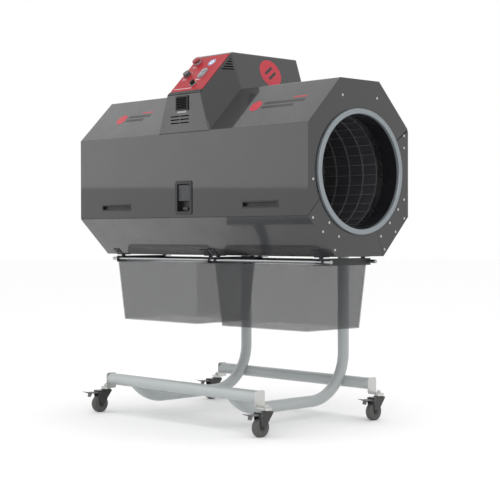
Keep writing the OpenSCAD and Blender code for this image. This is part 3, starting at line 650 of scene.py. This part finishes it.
def set_camera(scene):
    """A camera at the front right, level with the bins. Its heading is measured from +Y."""
    data = bpy.data.cameras.new("camera")
    data.lens = 94.66
    data.sensor_width = 36
    camera = bpy.data.objects.new("camera", data)
    scene.collection.objects.link(camera)
    stand = (4.17427, -3.88149, 0.78892)
    heading, dip, roll = math.radians(46.2515), math.radians(0.6818), math.radians(-0.1106)
    ahead = Vector(
        (-math.sin(heading) * math.cos(dip), math.cos(heading) * math.cos(dip), -math.sin(dip))
    )
    right = Vector((math.cos(heading), math.sin(heading), 0))
    turn = Matrix((right, right.cross(ahead), -ahead)).transposed().to_4x4()
    camera.matrix_world = Matrix.Translation(stand) @ turn @ Matrix.Rotation(roll, 4, "Z")
    scene.camera = camera


# ---- add-on ----


class SifterLooks(bpy.types.PropertyGroup):
    """Sizes, colours and levels that the looks are made from."""

    fold_radius: FloatProperty(
        name="Fold radius", description="Bend radius of the housing's folds", default=0.003, unit="LENGTH"
    )
    box_radius: FloatProperty(
        name="Box fold radius", description="Bend radius of the control box", default=0.004, unit="LENGTH"
    )
    core_radius: FloatProperty(
        name="Core radius", description="Radius of the wheels' cores", default=0.0285, unit="LENGTH"
    )
    tick_count: IntProperty(
        name="Dial ticks", description="Number of ticks round the speed dial", default=11, min=3, max=41
    )
    housing_colour: FloatVectorProperty(
        name="Housing", description="Colour of the housing", default=srgb("#1B1A1D"), size=4, subtype="COLOR"
    )
    panel_colour: FloatVectorProperty(
        name="Panel", description="Colour of the panel", default=srgb("#A00F20"), size=4, subtype="COLOR"
    )
    stand_colour: FloatVectorProperty(
        name="Stand", description="Colour of the stand", default=srgb("#A8ADAE"), size=4, subtype="COLOR"
    )
    key_power: FloatProperty(
        name="Key light", description="Power of the key light", default=45.0, unit="POWER"
    )
    room_light: FloatProperty(
        name="Room light", description="Brightness of the white room", default=1.0, subtype="FACTOR"
    )


class SIFTER_OT_stand(bpy.types.Operator):
    """Finish the tubes, clamps, rails and fasteners"""

    bl_idname = "sifter.stand"
    bl_label = "Stand"

    def execute(self, context):
        paint(("leg_left", "leg_right", "front_cross_tube", "rear_cross_tube"), "stand_paint")
        paint(("base_fasteners", "caster_plates", "caster_stems"), "zinc_steel")
        paint(("bin_rods",), "rod_steel")
        for node in ("leg_clamps", "bin_runners", "rod_brackets"):
            rounded(node, "rail_coat", 0.5 * MM)
        paint(("roller_bearings",), "rail_coat")
        return {"FINISHED"}


class SIFTER_OT_housing(bpy.types.Operator):
    """Round the sheets' folds and finish the end plates, port rings, hinges and finger pulls"""

    bl_idname = "sifter.housing"
    bl_label = "Housing"

    def execute(self, context):
        for node in ("hood_shell", "tray_shell", "rear_shell"):
            folded(node, "housing_coat", context.scene.sifter.fold_radius)
        for node in ("hood_ends", "base_ends"):
            paint((node,), "housing_coat")
            second_finish(node, "zinc_steel", on_rivet)
        for node in ("port_ring_left", "port_ring_right"):
            rounded(node, "ring_coat", 1.2 * MM, segments=3, angle=60)
        paint(("port_collars",), "housing_coat")
        paint(("hood_hinge_leaves", "base_hinge_leaves"), "zinc_steel")
        rounded("pull_cups", "black_plastic", 0.8 * MM)
        return {"FINISHED"}


class SIFTER_OT_decals(bpy.types.Operator):
    """Print the hood's stripes and the control box's badge"""

    bl_idname = "sifter.decals"
    bl_label = "Decals"

    def execute(self, context):
        print_hood()
        print_badge()
        return {"FINISHED"}


class SIFTER_OT_box(bpy.types.Operator):
    """Round the control box's folds and add its strip, screws and a black seam strip, part gasket and part
    painted shade
    """

    bl_idname = "sifter.box"
    bl_label = "Control box"

    def execute(self, context):
        folded("control_box", "housing_coat", context.scene.sifter.box_radius, least=0.05)
        rounded("air_filter", "black_plastic", 0.5 * MM)
        rounded("power_inlet", "black_plastic", 0.5 * MM)
        slab("box_strip", bar(58 * MM, 8 * MM), 1.2 * MM, front_place(-10 * MM, 603 * MM), "print_grey")
        # A black strip along the box's foot on the front wall: part gasket, part painted shade in the seam
        # between the box and the hood.
        seam = front_place(0, UPPER_CORNER + 1.5 * MM)
        slab("box_seam_gasket_and_shade", bar(2 * BOX_BASE, 2.5 * MM), 0.8 * MM, seam, "black_plastic")
        for name, x in (("left", -130 * MM), ("right", 130 * MM)):
            screw("box_screw_" + name, front_place(x, 550 * MM))
        return {"FINISHED"}


class SIFTER_OT_panel_face(bpy.types.Operator):
    """Finish the red panel and its controls, and print their marks"""

    bl_idname = "sifter.panel_face"
    bl_label = "Panel"

    def execute(self, context):
        rounded("panel_plate", "panel_red", 0.6 * MM)
        paint(("button_bezels",), "grey_plastic")
        rounded("stop_mushroom", "stop_red", 0.6 * MM, angle=50)
        rounded("speed_knob", "grey_plastic", 0.8 * MM, angle=50, ink="knob_grey")
        rounded("selector_knob", "black_plastic", 0.8 * MM, angle=50)
        rounded("start_button", "grey_plastic", 0.6 * MM, angle=50)
        rounded("halt_button", "grey_plastic", 0.6 * MM, angle=50)
        foot = panel_place(0, 9.5 * MM, PANEL_GAP)
        slab("panel_lip", bar(2 * BOX_TOP - 6 * MM, 17 * MM), 3 * MM, foot, "black_plastic")
        print_panel(context.scene.sifter.tick_count)
        return {"FINISHED"}


class SIFTER_OT_latch(bpy.types.Operator):
    """Finish the recessed slam latch and add its four screws"""

    bl_idname = "sifter.latch"
    bl_label = "Latch"

    def execute(self, context):
        rounded("latch_body", "black_plastic", 0.8 * MM)
        rounded("latch_paddle", "paddle_steel", 0.8 * MM)
        paint(("latch_bolt",), "paddle_steel")
        paint(("latch_keeper",), "zinc_steel")
        low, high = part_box("latch_body")
        inset = 7 * MM
        for i, x in enumerate((low.x + inset, high.x - inset)):
            for j, z in enumerate((low.z + inset, high.z - inset)):
                screw(f"latch_screw_{i}{j}", plane_at((x, low.y, z), ALONG, FORWARD))
        return {"FINISHED"}


class SIFTER_OT_drum(bpy.types.Operator):
    """Finish the cage, its woven screen and its roller tracks"""

    bl_idname = "sifter.drum"
    bl_label = "Drum"

    def execute(self, context):
        paint(("drum_cage",), "cage_steel")
        paint(("drum_screen",), "screen_cloth")
        paint(("drum_tracks",), "track_alloy")
        return {"FINISHED"}


class SIFTER_OT_drive(bpy.types.Operator):
    """Finish the roller shafts, pulleys, belt and gear motor"""

    bl_idname = "sifter.drive"
    bl_label = "Drive"

    def execute(self, context):
        paint(("drive_roller_shaft", "idler_roller_shaft"), "rod_steel")
        paint(("motor_pulley", "shaft_pulley"), "track_alloy")
        paint(("drive_belt",), "belt_rubber")
        paint(("gear_motor",), "motor_paint")
        return {"FINISHED"}


class SIFTER_OT_bins(bpy.types.Operator):
    """Finish the two smoke-tinted bins"""

    bl_idname = "sifter.bins"
    bl_label = "Bins"

    def execute(self, context):
        for node in ("bin_left", "bin_right"):
            rounded(node, "bin_plastic", 0.8 * MM)
        return {"FINISHED"}


class SIFTER_OT_casters(bpy.types.Operator):
    """Finish the forks, the wheels' treads and cores, and the brake pedals"""

    bl_idname = "sifter.casters"
    bl_label = "Casters"

    def execute(self, context):
        core = context.scene.sifter.core_radius
        for corner in CORNERS:
            rounded("fork_" + corner, "caster_black", 0.8 * MM)
            wheel = "wheel_" + corner
            low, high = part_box(wheel)
            hub = (low + high) / 2
            paint((wheel,), "tyre_grey")
            second_finish(wheel, "wheel_core", lambda corners: reach(corners, hub) < core)
            rounded("pedal_" + corner, "pedal_grey", 0.8 * MM)
        return {"FINISHED"}


class SIFTER_OT_stage(bpy.types.Operator):
    """Set a pale floor, a white room, four soft lights and the camera"""

    bl_idname = "sifter.stage"
    bl_label = "Stage"

    def execute(self, context):
        looks = context.scene.sifter
        scene = context.scene
        bm = bmesh.new()
        bmesh.ops.create_grid(bm, x_segments=4, y_segments=4, size=30)
        floor = bpy.data.objects.new("floor", to_mesh(bm, "floor"))
        scene.collection.objects.link(floor)
        floor.data.materials.append(look("floor_paper"))
        world = bpy.data.worlds.new("studio")
        world.use_nodes = True
        world.node_tree.nodes["Background"].inputs["Color"].default_value = (1, 1, 1, 1)
        world.node_tree.nodes["Background"].inputs["Strength"].default_value = looks.room_light
        scene.world = world
        for name, spot, size, share in (
            ("key_light", (3.2, -3.6, 3.6), 2.6, 1.0),
            ("fill_light", (-3.8, -3.4, 2.6), 3.0, 0.45),
            ("top_light", (0.4, 0.6, 4.4), 3.4, 0.55),
            ("edge_light", (4.9, -4.7, 1.9), 1.0, 0.3),
        ):
            data = bpy.data.lights.new(name, "AREA")
            data.size = size
            data.energy = looks.key_power * share
            light = bpy.data.objects.new(name, data)
            light.location = spot
            scene.collection.objects.link(light)
            aim(light, (0, 0, 0.9))
        set_camera(scene)
        scene.view_settings.view_transform = "Standard"
        return {"FINISHED"}


OPERATORS = (
    SIFTER_OT_stand,
    SIFTER_OT_housing,
    SIFTER_OT_decals,
    SIFTER_OT_box,
    SIFTER_OT_panel_face,
    SIFTER_OT_latch,
    SIFTER_OT_drum,
    SIFTER_OT_drive,
    SIFTER_OT_bins,
    SIFTER_OT_casters,
    SIFTER_OT_stage,
)


class SIFTER_PT_looks(bpy.types.Panel):
    """Builds the looks from the sidebar."""

    bl_label = "Drum Sifter"
    bl_idname = "SIFTER_PT_looks"
    bl_space_type = "VIEW_3D"
    bl_region_type = "UI"
    bl_category = "Sifter"

    def draw(self, context):
        for key in SifterLooks.__annotations__:
            self.layout.prop(context.scene.sifter, key)
        for step in OPERATORS:
            self.layout.operator(step.bl_idname)


CLASSES = (SifterLooks, *OPERATORS, SIFTER_PT_looks)


def register():
    """Makes the properties, the operators and the panel known."""
    for made in CLASSES:
        bpy.utils.register_class(made)
    bpy.types.Scene.sifter = PointerProperty(type=SifterLooks)


def unregister():
    """Takes them away again."""
    del bpy.types.Scene.sifter
    for made in reversed(CLASSES):
        bpy.utils.unregister_class(made)


def main():
    """Builds the looks."""
    register()
    for step in OPERATORS:
        getattr(bpy.ops.sifter, step.bl_idname.split(".")[1])()


if __name__ == "__main__":
    main()
